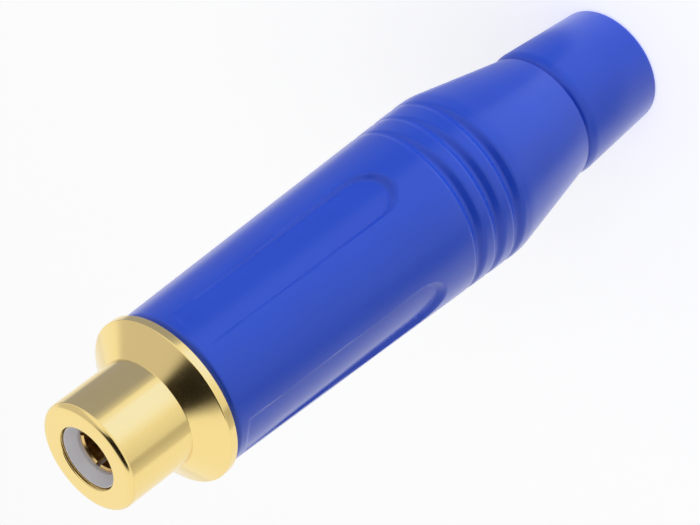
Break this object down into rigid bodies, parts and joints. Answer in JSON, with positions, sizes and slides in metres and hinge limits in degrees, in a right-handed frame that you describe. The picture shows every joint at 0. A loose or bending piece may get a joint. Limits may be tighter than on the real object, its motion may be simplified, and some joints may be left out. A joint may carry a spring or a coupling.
{
  "type": "phono socket",
  "caption": "In-line phono socket for a cable: fluted tapered shell that screws over a flanged socket with an insulated centre contact and a cable chuck inside.",
  "frame": {"origin": "centre of the tail end face, where the cable enters, on the axis of the socket", "axes": "+Z along the axis, from the tail to the mouth; the four flutes of the shell lie on +X, -X, +Y and -Y"},
  "size_m": [0.0134, 0.0134, 0.0542],
  "materials": {
    "blue_paint": "satin",
    "gold_plate": "polished",
    "tinned_brass": "satin",
    "white_insulator": "matte",
    "black_sleeve": "semi-gloss",
    "grey_chuck": "matte"
  },
  "bodies": {
    "shell": {"shell": "blue_paint"},
    "chuck": {"cable_chuck": "grey_chuck"},
    "socket": {"socket_body": "gold_plate", "front_insulator": "white_insulator", "rear_insulator": "white_insulator", "centre_contact": "gold_plate", "ground_lug": "tinned_brass", "insulating_sleeve": "black_sleeve"}
  },
  "joints": [
    {"name": "unscrew_turn", "type": "hinge", "parent": "shell", "child": "chuck", "pos_m": [0, 0, 0], "axis": [0, 0, 1], "range_deg": [0, 2880]},
    {"name": "unscrew_lift", "type": "slide", "parent": "chuck", "child": "socket", "axis": [0, 0, 1], "range_m": [0, 0.006]}
  ],
  "couplings": [
    {"joint": "unscrew_lift", "follows": "unscrew_turn", "m_per_rad": 0.00011936}
  ]
}
